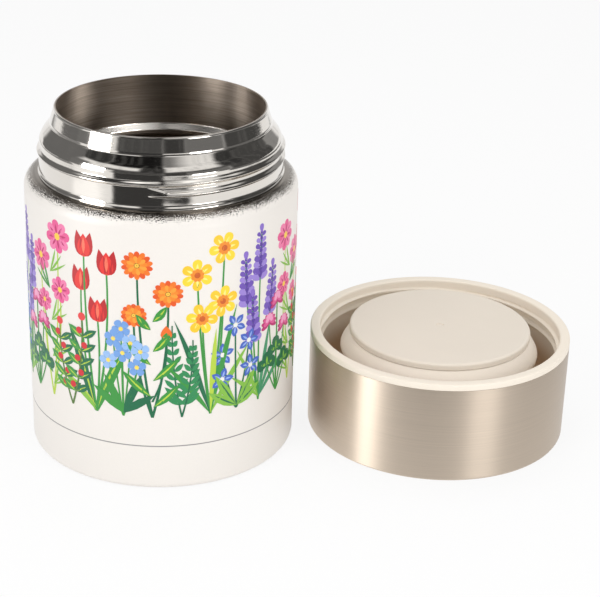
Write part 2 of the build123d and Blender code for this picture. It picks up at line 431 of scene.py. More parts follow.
class FOODJAR_OT_neck(Piece):
    """Turns the polished neck from one sheet and rolls the thread into it"""

    bl_idname = "foodjar.neck"
    bl_label = "Neck with thread"

    def make(self, jar, tint, lid, lid_tint):
        foot, band, rim = jar.shoulder, jar.band, jar.rim
        root, foot_edge = band - jar.relief, band + jar.bead
        # From low to high the outline has rings of vertices, which the thread is rolled out of.
        low, high, rings = foot + 3.0, jar.dome - 1.6, 56
        outline = [
            (foot_edge, foot, 0),
            (foot_edge, foot + 0.55, 0.35),
            (band, foot + 1.4, 0.35),
            (band, low - 0.1, 0),
            *((root, low + (high - low) * k / rings, 0) for k in range(rings + 1)),
            (root, jar.dome, 2.4),
            (jar.collar, jar.collar_foot, 0.45),
            (jar.collar - 0.05, jar.collar_foot + 0.9, 0.2),
            (jar.lip + 0.05, rim - 0.7, 0.15),
            (jar.lip, rim - 0.25, 0.15),
            (jar.lip - 0.25, rim, 0.18),
            (jar.lip - 0.4, rim, 0),
        ]
        neck = turned("neck_sheet", outline, closed=False, segments=8, steps=320)
        self.roll_thread(neck, jar, root, low)
        thicken(neck, jar.sheet)
        smooth(neck, 60)
        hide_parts("neck_ring")
        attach(neck, "jar")
        polished_steel(tint.polish).on(neck)

    def roll_thread(self, neck, jar, root, low):
        """Pushes the sheet out along a right-handed helix. The band reaches up to its first turn. The ridge
        fades in and out at its ends, and its second turn gets lower as it nears the dome."""
        start, climb = math.radians(-106.7), jar.shoulder + 4.75
        half, rise = jar.ridge / 2, jar.crest - root
        join_reach, edge_soft, run_in = math.radians(26), 0.8, 0.05
        sink_start, sink_reach, sink = 1.35, 0.4, 0.85
        for vertex in neck.data.vertices:
            x, y, z = (c / MM for c in vertex.co)
            if not low - 0.01 < z < jar.dome + 1.2:
                continue
            around = (math.atan2(y, x) - start) % TAU
            join = 1 - ease(around / join_reach)
            edge = climb + jar.pitch * (around / TAU + join)
            push = (jar.band - root) * (1 - ease((z - edge + edge_soft / 2) / edge_soft))
            for turn in range(3):
                along = around / TAU + turn
                off = abs(z - climb - jar.pitch * along) / half
                if along < jar.turns and off < 1:
                    fade = ease(min(along, jar.turns - along) / run_in)
                    fade *= 1 - sink * ease((along - sink_start) / sink_reach)
                    push = max(push, rise * fade * (0.5 + 0.5 * math.cos(math.pi * off)))
            radius = math.hypot(x, y)
            vertex.co.x *= 1 + push / radius
            vertex.co.y *= 1 + push / radius


def polished_steel(base):
    """Mirror-polished sheet with faint turning marks and the shallow waves that rolling leaves."""
    finish = Finish("polished_steel", metallic=1.0)
    point = finish.place()
    marks = finish.streaks(point, (0.03, 0.03, 9.0), 3.0)
    waves = finish.streaks(point, (0.12, 0.12, 0.22))
    smears = finish.noise(point, 0.11, 3.0)
    finish.set("Base Color", finish.shade(marks, base, 0.9, 1.03))
    finish.set("Roughness", 0.065 + 0.05 * marks * smears)
    fine = finish.bump(marks, 0.004)
    finish.set("Normal", finish.bump(waves, 0.05, below=fine))
    return finish


COAT_EDGE_HEIGHT, COAT_EDGE_RADIUS = 94.2, 43.6  # where the powder coat ends on the shoulder
SPATTER, WANDER = 9.0, 0.9  # how far its specks and its slow waves move that edge
LINE_HEIGHT = 16.0  # of the thin printed line above the foot


class FOODJAR_OT_shell(Piece):
    """Finishes the shell: powder coat with an oversprayed edge, the printed line and the bare shoulder"""

    bl_idname = "foodjar.shell"
    bl_label = "Coated shell"

    def make(self, jar, tint, lid, lid_tint):
        finish = Finish("powder_coat", Coat_Weight=0.0)
        point = finish.place()
        x, y, z = finish.axes(point)
        radius = (x * x + y * y) ** 0.5
        grain = finish.noise(point, 2.2, 2.0)
        spatter = finish.noise(point, 3.0, 2.0, 0.6)
        wander = finish.noise(point, 0.09, 2.0)
        past_edge = z - COAT_EDGE_HEIGHT + (COAT_EDGE_RADIUS - radius) * 0.35
        past_edge = past_edge + (spatter - 0.5) * SPATTER + (wander - 0.5) * WANDER
        bare = past_edge.rise(-0.1, 0.12)
        brush = finish.streaks(point, (0.05, 0.05, 6.0), 3.0)
        rings = finish.streaks(finish.vector(radius), (7.0, 1.0, 1.0))
        line = abs(z - LINE_HEIGHT).fall(0.14, 0.24)
        coat = finish.shade(grain, tint.coat, 0.975, 1.02)
        coat = finish.mix(line * 0.85, coat, tuple(tint.line))
        steel = finish.shade((brush + rings) * 0.5, tint.bare, 0.75, 1.15)
        finish.set("Metallic", bare)
        roughness = 0.36 + 0.06 * grain - 0.24 * bare
        finish.surface(finish.mix(bare, coat, steel), roughness, grain * (1 - bare), 0.006)
        finish.on("outer_shell")


LAYER = 0.001  # millimetres from one inked shape to the next
STRIPS, STRIP = 9, 1.7  # how many strips a plant is cut into on each side, and how wide one is


def sine_cosine(degrees):
    return math.sin(math.radians(degrees)), math.cos(math.radians(degrees))


def leaning(tip, bow, share):
    """How far to the side a stem stands at a share of its height, where it bows on its way to its tip."""
    return tip * share + bow * 4 * share * (1 - share)


class Press:
    """Lays flat inked shapes over one another to make a plant. x runs round the jar and z runs up. Each
    shape lies a hair in front of the one before, so that it covers it."""

    def __init__(self):
        self.blanks = {
            "petal": self.blank("petal", 14, 0.75, 0.0),
            "bud": self.blank("bud", 16, 0.1, 0.9),
            "leaf": self.blank("leaf", 14, 1.0, 1.0),
            "disc": self.blank("disc", 16, 0.0, 0.0),
        }
        self.shapes = []

    def blank(self, name, corners, foot, tip):
        """A shape one unit long and wide that starts at the origin. foot and tip say how pointed its ends
        are."""
        fresh()
        bpy.ops.mesh.primitive_circle_add(
            vertices=corners, radius=0.5, fill_type="NGON", rotation=(TAU / 4, 0, 0)
        )
        bpy.ops.object.transform_apply(location=False, rotation=True, scale=False)
        shape = bpy.context.object
        shape.name = name
        for vertex in shape.data.vertices:
            along = vertex.co.z + 0.5
            narrow = max(along, 0.0) ** (foot * 0.6) * max(1 - along, 0.0) ** (tip * 0.6)
            vertex.co.x *= narrow * 1.35 ** (foot + tip)
            vertex.co.z = along
        return shape

    def lay(self, kind, x, z, length, width, tint, turn=0.0, bow=0.0):
        """Lays one shape with its foot at x, z, turned clockwise from upright and bowed to the side."""
        shape = add(kind, self.blanks[kind].data.copy())
        sine, cosine = sine_cosine(turn)
        for vertex in shape.data.vertices:
            across, along = vertex.co.x * width + bow * vertex.co.z**2, vertex.co.z * length
            vertex.co.x = x + across * cosine + along * sine
            vertex.co.z = z + along * cosine - across * sine
        self.ink_in(shape, tint)

    def stem(self, tip_x, tip_z, bow, width, tint, foot=0):
        """Lays a stem that bows sideways between its foot, at that height, and its tip."""
        fresh()
        bpy.ops.mesh.primitive_grid_add(x_subdivisions=1, y_subdivisions=10, size=1.0)
        shape = bpy.context.object
        for vertex in shape.data.vertices:
            side, along = vertex.co.x, vertex.co.y + 0.5
            taper = width * (1 - 0.35 * along)
            vertex.co.x = leaning(tip_x, bow, along) + side * taper
            vertex.co.z = foot + (tip_z - foot) * along
        self.ink_in(shape, tint)

    def sprig(self, lean, long, width, tint, foot, pairs):
        """Lays a bowed stem, and gives the number and the place of each pair of leaves on it."""
        self.stem(lean, long, lean * 0.3, width, tint)
        for k in range(pairs):
            z = foot + (long - foot - 1) * k / pairs
            yield k, leaning(lean, lean * 0.3, z / long), z

    def ink_in(self, shape, tint):
        """Puts a shape in front of the others and gives it its ink."""
        for vertex in shape.data.vertices:
            vertex.co.y = -LAYER * len(self.shapes)
        layer = shape.data.color_attributes.new("tint", "FLOAT_COLOR", "POINT")
        for point in layer.data:
            point.color = (*ink(*tint), 1.0)
        self.shapes.append(shape)

    def flower(
        self, x, z, across, petals, width, tints, eye=None, eye_size=0.3, kind="petal", turn=0.0, inner=None
    ):
        """Lays an open flower seen from the front, with petals that take the tints in turn."""
        for k in range(petals):
            around = turn + 360 * k / petals
            sine, cosine = sine_cosine(around)
            foot = x + across * 0.06 * sine, z + across * 0.06 * cosine
            self.lay(kind, *foot, across * 0.45, width, tints[k % len(tints)], around)
            if inner:
                self.lay("leaf", *foot, across * 0.32, width * 0.3, inner, around)
        if eye:
            self.lay("disc", x, z - across * eye_size / 2, across * eye_size, across * eye_size, eye)

    def pull(self, name):
        """Joins what was laid and cuts it into upright strips, so that it bends round the jar."""
        take(*self.shapes)
        plant = self.shapes[0]
        bpy.ops.object.join()
        plant.name = name
        self.shapes = []
        bpy.ops.object.mode_set(mode="EDIT")
        for k in range(-STRIPS, STRIPS + 1):
            everything()
            bpy.ops.mesh.bisect(plane_co=(k * STRIP, 0, 0), plane_no=(1, 0, 0))
        fresh()
        return plant


LEAF, LIGHT_LEAF, DARK_LEAF, BRIGHT_LEAF = (58, 150, 62), (132, 190, 66), (20, 108, 70), (184, 212, 66)


def tulips(press):
    for x, top, bow in ((-4.8, 43, -1.6), (4.6, 50, 1.6), (-3.4, 55, -1.0), (1.2, 33, 0.8)):
        press.stem(x, top, bow, 0.9, LEAF)
        for side in (-1, 1):
            press.lay("bud", x + side * 0.9, top, 8.6, 3.9, (190, 26, 34), side * 11)
        press.lay("bud", x, top - 0.3, 8.0, 5.0, (232, 46, 40))
        press.lay("leaf", x, top + 0.8, 5.6, 1.5, (250, 116, 88))
    for foot, long, width, tint, turn in (
        (-0.6, 31, 4.4, DARK_LEAF, -12),
        (0.6, 28, 4.4, LEAF, 15),
        (0, 19, 3.6, LIGHT_LEAF, -30),
    ):
        press.lay("leaf", foot, 0, long, width, tint, turn, turn * 0.28)
        press.lay("leaf", foot, 1.5, long * 0.8, 0.9, BRIGHT_LEAF, turn, turn * 0.22)


def lavender(press):
    for x, top, bow in ((-6.4, 46, -1.2), (-0.4, 60, 0.4), (6.2, 52, 1.2), (3.2, 38, 0.6)):
        press.stem(x, top, bow, 0.75, LEAF)
        for k in range(8):
            z = top - 16 + 2.2 * k
            size = 4.0 - 0.26 * k
            lean = leaning(x, bow, z / top)
            tint = (112, 82, 182) if k % 2 else (158, 134, 216)
            for side in (-1, 1):
                press.lay("petal", lean + side * 0.2, z, size, size * 0.66, tint, side * 50)
            press.lay("petal", lean, z + 0.6, size * 0.7, size * 0.5, (88, 60, 158))
        press.lay("petal", x, top + 0.6, 3.2, 1.9, (140, 112, 204))
    for turn, long in ((-40, 17), (-24, 24), (22, 22), (40, 16), (-10, 27)):
        tint = LIGHT_LEAF if turn > 0 else (70, 150, 108)
        press.lay("leaf", 0, 1, long, 2.1, tint, turn, turn * 0.05)


def marigolds(press):
    for x, top, bow, across in ((4.4, 56, 1.2, 10.0), (-5.2, 46, -1.6, 9.6), (5.6, 38, 1.6, 8.2)):
        press.stem(x, top, bow, 0.9, DARK_LEAF)
        press.flower(x, top, across, 14, 1.9, ((232, 88, 28), (244, 122, 36)))
        tints = ((252, 164, 56), (246, 140, 40))
        press.flower(x, top, across * 0.66, 12, 1.4, tints, (124, 56, 24), 0.28, turn=9)
        press.flower(x, top, across * 0.16, 7, 0.5, ((250, 200, 70),))
    press.stem(-4.6, 30, -1.6, 0.7, DARK_LEAF, foot=6)
    press.lay("bud", -4.6, 29.5, 5.0, 3.8, (240, 112, 36))
    press.lay("bud", -4.6, 28.6, 3.4, 3.2, LEAF)
    leaves = ((4, -1, 12), (8, 1, 13), (14, -1, 12), (20, 1, 11), (25, -1, 8), (33, 1, 7), (36, -1, 7))
    for z, side, long in leaves:
        press.lay("leaf", side * 0.3, z, long, 3.6, LEAF, side * 52, side * -1.5)
        press.lay("leaf", side * 0.6, z + 0.3, long * 0.8, 0.8, BRIGHT_LEAF, side * 52, side * -1.2)


def cosmos(press):
    tints, eye, inner = ((232, 88, 148), (240, 124, 172)), (250, 208, 70), (190, 36, 104)
    flowers = ((-4.4, 57, -1.2, 11.0), (5.2, 48, 1.6, 10.4), (-5.0, 39, -1.6, 8.8), (3.6, 33, 1.0, 7.6))
    for x, top, bow, across in flowers:
        press.stem(x, top, bow, 0.75, BRIGHT_LEAF)
        press.flower(x, top, across, 8, across * 0.3, tints, eye, 0.22, turn=10, inner=inner)
    for z, side in ((4, -1), (8, 1), (14, -1), (20, 1), (27, -1), (38, 1), (44, -1)):
        tint = LEAF if side > 0 else LIGHT_LEAF
        for spread in (26, 46, 66):
            press.lay("leaf", side * 0.2, z, 9.0, 0.95, tint, side * spread, side * -1.0)


def daffodils(press):
    tints, inner = ((252, 218, 50), (250, 204, 40)), (255, 240, 140)
    flowers = ((-4.4, 49, -0.8, 0), (4.6, 57, 0.8, 24), (4.2, 39, 1.0, 12), (-2.8, 34, -0.4, 40))
    for x, top, bow, turn in flowers:
        press.stem(x, top, bow, 0.85, LEAF)
        press.flower(x, top, 10.4, 6, 3.3, tints, turn=turn, inner=inner)
        press.flower(x, top, 4.4, 9, 1.3, ((240, 142, 36),), (206, 92, 22), 0.45)
    for turn, long, tint in (
        (-16, 36, DARK_LEAF),
        (12, 38, LEAF),
        (26, 26, LIGHT_LEAF),
        (-30, 24, LEAF),
        (3, 30, BRIGHT_LEAF),
    ):
        press.lay("leaf", 0, 0, long, 2.5, tint, turn, turn * 0.12)


def forget_me_nots(press):
    places = ((-4.6, 17), (4.8, 18.5), (0, 21.5), (-2.6, 25), (3.0, 26), (-5.8, 22.4), (0.4, 29.5))
    for x, z in places:
        press.stem(x, z, x * 0.12, 0.6, LEAF)
    for turn, long in ((-50, 12), (46, 13), (-22, 15), (24, 14)):
        press.lay("leaf", 0, 1, long, 3.6, LEAF if turn > 0 else DARK_LEAF, turn, turn * 0.03)
    for k, (x, z) in enumerate(places):
        tint = (154, 192, 240) if k % 2 else (118, 164, 226)
        press.flower(x, z, 6.0, 5, 2.5, (tint,), (250, 220, 96), 0.24, turn=17 * k)


def stars(press):
    """Blue flowers with five pointed petals."""
    tints, eye, inner = ((70, 104, 196),), (240, 240, 232), (150, 176, 236)
    for k, (x, z) in enumerate(((-5.2, 21), (4.8, 24), (-0.6, 31), (5.6, 14.5), (-5.4, 12))):
        press.stem(x, z, x * 0.15, 0.7, DARK_LEAF)
        press.flower(x, z, 8.4, 5, 2.9, tints, eye, 0.2, "leaf", 22 * k, inner)
    for turn, long in ((-62, 12), (-34, 15), (36, 14), (64, 11)):
        press.lay("leaf", 0, 1, long, 4.0, LIGHT_LEAF, turn, turn * -0.02)
        press.lay("leaf", 0, 1.2, long * 0.8, 0.8, DARK_LEAF, turn, turn * -0.016)


def clover(press):
    for x, z in ((-4.8, 22), (4.4, 25.5), (0, 32)):
        press.stem(x, z, x * 0.1, 0.7, LEAF)
        rings = ((9, 4.0, (190, 42, 116)), (7, 3.1, (226, 92, 154)), (5, 2.0, (244, 164, 202)))
        for lift, (count, reach, tint) in enumerate(rings):
            for k in range(count):
                press.lay("petal", x, z + 0.9 * lift, reach, 1.5, tint, -105 + 210 * k / (count - 1))
    for x, z in ((-5.2, 9), (5.4, 11), (0.4, 15)):
        press.stem(x, z, x * 0.1, 0.6, LEAF)
        for turn in (-80, 0, 80):
            press.lay("petal", x, z, 4.8, 4.2, DARK_LEAF, turn)
            press.lay("leaf", x, z + 0.3, 3.0, 1.3, LIGHT_LEAF, turn)


def berries(press):
    """Sprigs with oval leaves and red berries."""
    for lean, long in ((-5.0, 27), (4.6, 31)):
        for k, middle, z in press.sprig(lean, long, 0.7, (86, 120, 50), 5, 5):
            for side in (-1, 1):
                press.lay("leaf", middle, z, 6.4, 3.2, DARK_LEAF if side > 0 else LEAF, side * 58)
                press.lay("leaf", middle, z, 5.0, 0.6, BRIGHT_LEAF, side * 58)
            press.lay("disc", middle + (1.1 if k % 2 else -1.1), z + 1.2, 2.3, 2.3, (214, 34, 48))
        press.lay("disc", lean, long, 2.7, 2.7, (230, 60, 60))


def ferns(press):
    for lean, long in ((-3.0, 30), (3.6, 25)):
        for k, middle, z in press.sprig(lean, long, 0.6, DARK_LEAF, 4, 9):
            for side in (-1, 1):
                press.lay("leaf", middle, z, 5.8 - 0.5 * k, 2.0, (44, 140, 84), side * 58, side * -0.6)


TALL = (tulips, lavender, marigolds, cosmos, daffodils)
SHORT = (forget_me_nots, ferns, stars, clover, berries)
PLACES = 15  # tall plants round the jar, with a short one in front of each gap
SHORT_FRONT = 0.08  # millimetres that the short plants stand in front of the tall ones


class FOODJAR_OT_print(Piece):
    """Prints a meadow of plain garden flowers round the jar, as thin layers of ink on the coat"""

    bl_idname = "foodjar.print"
    bl_label = "Printed band"

    def make(self, jar, tint, lid, lid_tint):
        press = Press()
        plants = {}
        for draw in TALL + SHORT:
            draw(press)
            plants[draw] = press.pull(draw.__name__)
        sheet = []
        for k in range(PLACES):
            tall, short = plants[TALL[k * 2 % len(TALL)]], plants[SHORT[k % len(SHORT)]]
            place = TAU * jar.body * k / PLACES
            sheet.append(self.wrap(tall, jar, place, 0.0, k % 2, 1.0 - 0.03 * (k % 3)))
            place += TAU * jar.body / PLACES / 2
            sheet.append(self.wrap(short, jar, place, SHORT_FRONT, k % 3 == 1, 0.96 + 0.04 * (k % 4)))
        for spare in (*plants.values(), *press.blanks.values()):
            bpy.data.objects.remove(spare)
        take(*sheet)
        printed = sheet[0]
        bpy.ops.object.join()
        printed.name = "printed_meadow"
        thicken(printed, jar.ink)
        smooth(printed, 30)
        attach(printed, "jar")
        printed_ink().on(printed)

    def wrap(self, plant, jar, place, front, mirrored, height):
        """Copies a plant to its place round the jar, standing on the meadow's ground line."""
        copy = add(plant.name, plant.data.copy())
        for vertex in copy.data.vertices:
            x, y, z = vertex.co
            around = (place + (-x if mirrored else x)) / jar.body
            radius = jar.body + 0.02 + front - y
            across, depth = radius * math.cos(around), radius * math.sin(around)
            vertex.co = Vector((across, depth, jar.ground + z * height)) * MM
        if mirrored:
            copy.data.flip_normals()
        return copy


def printed_ink():
    """Screen-printed ink in the colours of the shapes, a little uneven where it lies on the grain."""
    finish = Finish("printed_ink", Coat_Weight=0.0)
    point = finish.place()
    grain = finish.noise(point, 2.2, 2.0)
    cloud = finish.noise(point, 0.5, 2.0)
    tint = finish.node("ShaderNodeAttribute", {"attribute_name": "tint"}, {})
    sockets = {0: tint, "Scale": 0.93 + 0.08 * grain + 0.06 * cloud}
    uneven = finish.node("ShaderNodeVectorMath", {"operation": "SCALE"}, sockets)
    finish.surface(uneven, 0.34 + 0.1 * grain, grain, 0.005)
    return finish


SEAT_FOOT, SEAT_TOP = (97.9, 98.3), (100.1, 100.4)  # heights over which the seat's polish comes and goes


class FOODJAR_OT_inside(Piece):
    """Finishes the inner vessel: brushed walls and the polished seat"""

    bl_idname = "foodjar.inside"
    bl_label = "Inner vessel"

    def make(self, jar, tint, lid, lid_tint):
        finish = Finish("brushed_bore", metallic=1.0, Anisotropic=0.75, Anisotropic_Rotation=0.25)
        point = finish.place()
        *_, z = finish.axes(point)
        brush = finish.streaks(point, (0.03, 0.03, 5.0), 4.0, 0.7)
        arcs = finish.streaks(point, (0.05, 0.05, 1.6), 3.0, 0.6)
        cloud = finish.noise(point, 0.05, 2.0)
        seat = z.rise(*SEAT_FOOT) * z.fall(*SEAT_TOP)
        marks = (brush * 0.6 + arcs * 0.4).rise(0.3, 0.7)
        # Painted shade: tint.bore is darkened to stand in for the dark that the deep bore reflects.
        bore = finish.shade(marks, tint.bore, 0.6, 1.1)
        bright = finish.shade(marks, tint.polish, 0.92, 1.05)
        roughness = (0.26 + 0.14 * brush + 0.08 * cloud) * (1 - 0.35 * seat)
        finish.surface(finish.mix(seat, bore, bright), roughness, marks * (1 - 0.9 * seat), 0.015)
        finish.on("inner_vessel", "inner_bottom")


class FOODJAR_OT_base(Piece):
    """Finishes the jar's bottom plates and what lies hidden in the vacuum space"""

    bl_idname = "foodjar.base"
    bl_label = "Base and vacuum parts"

    def make(self, jar, tint, lid, lid_tint):
        brushed_plate(tint.bare).on("outer_bottom", "base_cover", "getter_clip")

        foil = Finish("bright_foil", metallic=1.0)
        creases = foil.noise(foil.place(), 0.35, 4.0, 0.7)
        shade = foil.shade(creases, tint.foil, 0.85, 1.05)
        foil.surface(shade, 0.16 + 0.14 * creases, creases, 0.12)
        foil.on("heat_foil")

        pellet = Finish("sintered_pellet", metallic=0.8)
        grains = pellet.noise(pellet.place(), 3.0, 4.0, 0.7)
        shade = pellet.shade(grains, ink(118, 116, 114), 0.7, 1.2)
        pellet.surface(shade, 0.6 + 0.25 * grains, grains, 0.05)
        pellet.on("getter")

        solder = Finish("fused_solder", Coat_Weight=0.4)
        swirl = solder.noise(solder.place(), 0.8, 3.0)
        solder.surface(solder.shade(swirl, ink(96, 100, 104), 0.7, 1.25), 0.14 + 0.12 * swirl)
        solder.on("port_seal")

        foam = Finish("closed_cell_foam")
        sockets = {"Vector": foam.place(), "Scale": 0.9}
        cells = foam.node("ShaderNodeTexVoronoi", {"feature": "F1"}, sockets)
        foam.surface(foam.shade(cells, ink(240, 240, 236), 1.0, 0.86), 0.85 - 0.1 * cells, cells, 0.15)
        foam.on("lid_foam")


def brushed_plate(base):
    """Steel brushed in circles about the jar's axis."""
    finish = Finish("brushed_plate", metallic=1.0)
    x, y, _ = finish.axes(finish.place())
    radius = (x * x + y * y) ** 0.5
    across = finish.vector(radius * 6.0, x * 0.04, y * 0.04)
    brush = finish.noise(across, 1.0, 4.0, 0.6)
    finish.surface(finish.shade(brush, base, 0.75, 1.15), 0.26 + 0.16 * brush, brush, 0.01)
    return finish


CROWN = 0.6  # height below which the lid's cover is its flat crown


class FOODJAR_OT_lid_cover(Piece):
    """Finishes the lid's steel cover, brushed round its side"""

    bl_idname = "foodjar.lid_cover"
    bl_label = "Lid cover"

    def make(self, jar, tint, lid, lid_tint):
        finish = Finish("brushed_lid", metallic=1.0, Anisotropic=0.85, Anisotropic_Rotation=0.25)
        point = finish.place(lid.distance, 0.0, 0.0)
        x, y, z = finish.axes(point)
        radius = (x * x + y * y) ** 0.5
        height = z + radius * (z < CROWN)  # up the side, and inwards across the crown
        across = finish.vector(x * 0.03, y * 0.03, height * 9.0)
        brush = finish.noise(across, 1.0, 5.0, 0.7)
        long_marks = finish.streaks(across, (0.5, 0.5, 0.25), 3.0, 0.6)
        tone = brush * 0.8 + long_marks * 0.2
        shade = finish.shade(tone, lid_tint.steel, 0.78, 1.2)
        finish.surface(shade, 0.34 + 0.14 * brush, brush, 0.008)
        finish.on("lid_cover")


PAINTED_SHADE = (0.72, 0.58, 0.46)  # how much of a pale moulding's red, green and blue the painted shade leaves deep in the lid's well


def moulded(name, base, centre, soft=False, dim=None):
    """Satin moulded plastic, or softer silicone, with a fine grain and faint flow marks. dim is the height
    below which shade is painted in, darker and warmer towards the bottom."""
    finish = Finish(name, Coat_Weight=0.0)
    point = finish.place(centre, 0.0, 0.0)
    grain = finish.noise(point, 2.6, 2.0)
    flow = finish.noise(point, 0.05, 3.0)
    tone = grain * 0.35 + flow * 0.65
    plastic = finish.shade(tone, base, 0.95, 1.04)
    if dim:
        *_, z = finish.axes(point)
        # Painted shade: below dim the plastic is darkened and warmed, where shade falls deep in the lid's
        # well.
        shade_share = (z + flow * 3.0).fall(dim - 9.0, dim)
        shaded = tuple(c * left for c, left in zip(base, PAINTED_SHADE))
        plastic = finish.mix(shade_share, plastic, finish.shade(tone, shaded, 0.95, 1.04))
    rough, depth = (0.58, 0.012) if soft else (0.52, 0.008)
    finish.surface(plastic, rough + 0.12 * grain, grain, depth)
    return finish


class FOODJAR_OT_lid_liner(Piece):
    """Turns the moulded liner with its rounded lip and adds the thread's ridges to its bore"""

    bl_idname = "foodjar.lid_liner"
    bl_label = "Lid liner"

    def make(self, jar, tint, lid, lid_tint):
        tube, skirt = lid.radius - 0.5, lid.radius - 2.3
        # The bore widens to the thread's root at step. From low to high it has rings of vertices, which the
        # ridge is drawn out of.
        step, high, low, rings = lid.lip - 3.4, lid.lip - 1.2, lid.lip - 12.0, 44
        heights = (high - (high - low) * k / rings for k in range(rings + 1))
        liner = turned(
            "lid_moulding",
            [
                (tube - 0.8, 0.5, 0),
                (tube, 1.3, 0),
                (tube, lid.edge, 0),
                (lid.radius, lid.edge, 0.2),
                (lid.radius, lid.lip, 0.6),
                (lid.bore, lid.lip, 0.7),
                *((lid.bore if z > step else lid.seat, z, 0) for z in heights),
                (lid.seat, lid.well, 1.0),
                (lid.stopper + 0.05, lid.well, 0),
                (lid.stopper + 0.05, lid.well - 1.6, 0),
                (skirt, lid.well - 1.6, 0.3),
                (skirt, 0.5, 0),
            ],
            centre=lid.distance,
        )
        self.mould_thread(liner, jar, lid, low, high)
        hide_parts("lid_liner")
        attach(liner, "lid")
        # Painted shade in the well, from 8 mm under the lip downwards.
        moulded("cream_moulding", lid_tint.lip, lid.distance, dim=lid.lip - 8.0).on(liner)

    def mould_thread(self, liner, jar, lid, low, high):
        """Draws a right-handed ridge out of the bore, with the pitch of the neck's thread."""
        start, foot = math.radians(250), lid.lip - 9.3
        run_in, steep = 0.06, 1.6
        for vertex in liner.data.vertices:
            x, y, z = (c / MM for c in vertex.co)
            x -= lid.distance
            radius = math.hypot(x, y)
            if radius > lid.seat + 0.1 or radius < lid.bore - 0.1 or not low < z < high:
                continue
            around = (math.atan2(y, x) - start) % TAU / TAU
            push = 0.0
            for turn in range(2):
                along = around + turn
                off = abs(z - foot - jar.pitch * along) / (lid.ridge / 2)
                if along < lid.turns and off < 1:
                    fade = ease(min(along, lid.turns - along) / run_in)
                    push = lid.ridge_depth * fade * ease(steep * (1 - off))
            vertex.co.x -= x * MM * push / radius
            vertex.co.y -= y * MM * push / radius


class FOODJAR_OT_stopper(Piece):
    """Finishes the stopper and turns its flared silicone ring"""

    bl_idname = "foodjar.stopper"
    bl_label = "Stopper and seal"

    def make(self, jar, tint, lid, lid_tint):
        moulded("stopper_moulding", lid_tint.nose, lid.distance).on("stopper_cup")
        top, groove = lid.nose - 2.5, lid.stopper - 2.02
        ring = turned(
            "seal_ring",
            [
                (groove, top, 0.2),
                (lid.stopper - 0.1, top, 0.25),
                (lid.skirt, top - 5.2, 0.7),
                (lid.skirt, top - 6.4, 0.35),
                (lid.skirt - 1.0, top - 6.4, 0.3),
                (groove + 1.4, top - 3.2, 0.8),
                (groove + 1.4, top - 9.7, 0.4),
                (groove, top - 9.7, 0.3),
            ],
            centre=lid.distance,
        )
        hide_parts("stopper_seal")
        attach(ring, "seal")
        moulded("cream_silicone", lid_tint.seal, lid.distance, soft=True).on(ring)


EYE = (-13.24, -515.24, 276.55)  # the camera's place
DOWN, ROLL, HEADING = 23.82, 1.70, 6.67  # degrees that it looks down, leans over and is turned to the right
LENS, SENSOR = 99.01, 36.0

# What the steel mirrors of a studio: dark gaps, each from left to right in degrees round the jar from its
# front, from low to high in degrees above the ground, how soft its edges are, and how dark it is.
GAPS = (
    (-66, 1, 40, 69, 3, 1.0),
    (-100, -64, 38, 69, 3, 0.97),
    (-100, -76, 1, 30, 3, 0.82),
    (-24, 3, 18, 44, 3, 0.97),
    (-58, 74, 17, 26, 3, 0.93),
    (58, 90, 18, 44, 5, 0.97),
    (66, 92, 40, 59, 4, 0.97),
    (-48, 1, -9, 22, 3, 0.93),
    (-2, 24, -9, 22, 4, 0.96),
    (20, 66, -9, 22, 4, 0.82),
    (64, 128, -9, 50, 4, 0.94),
    (124, 146, -9, 50, 4, 0.7),
    (-148, -92, -9, 46, 4, 0.84),
    (-12, 4, 56, 90, 4, 0.93),
)
STUDIO, CEILING = 0.95, 0.5  # how bright the rest is to steel, and how much brighter its high part is
MATT_LIGHT = 0.66  # how bright the world is to what isn't steel

FLOOR_SIZE, FLOOR_CENTRE = 6.0, (0.05, 0, -0.00005)  # metres


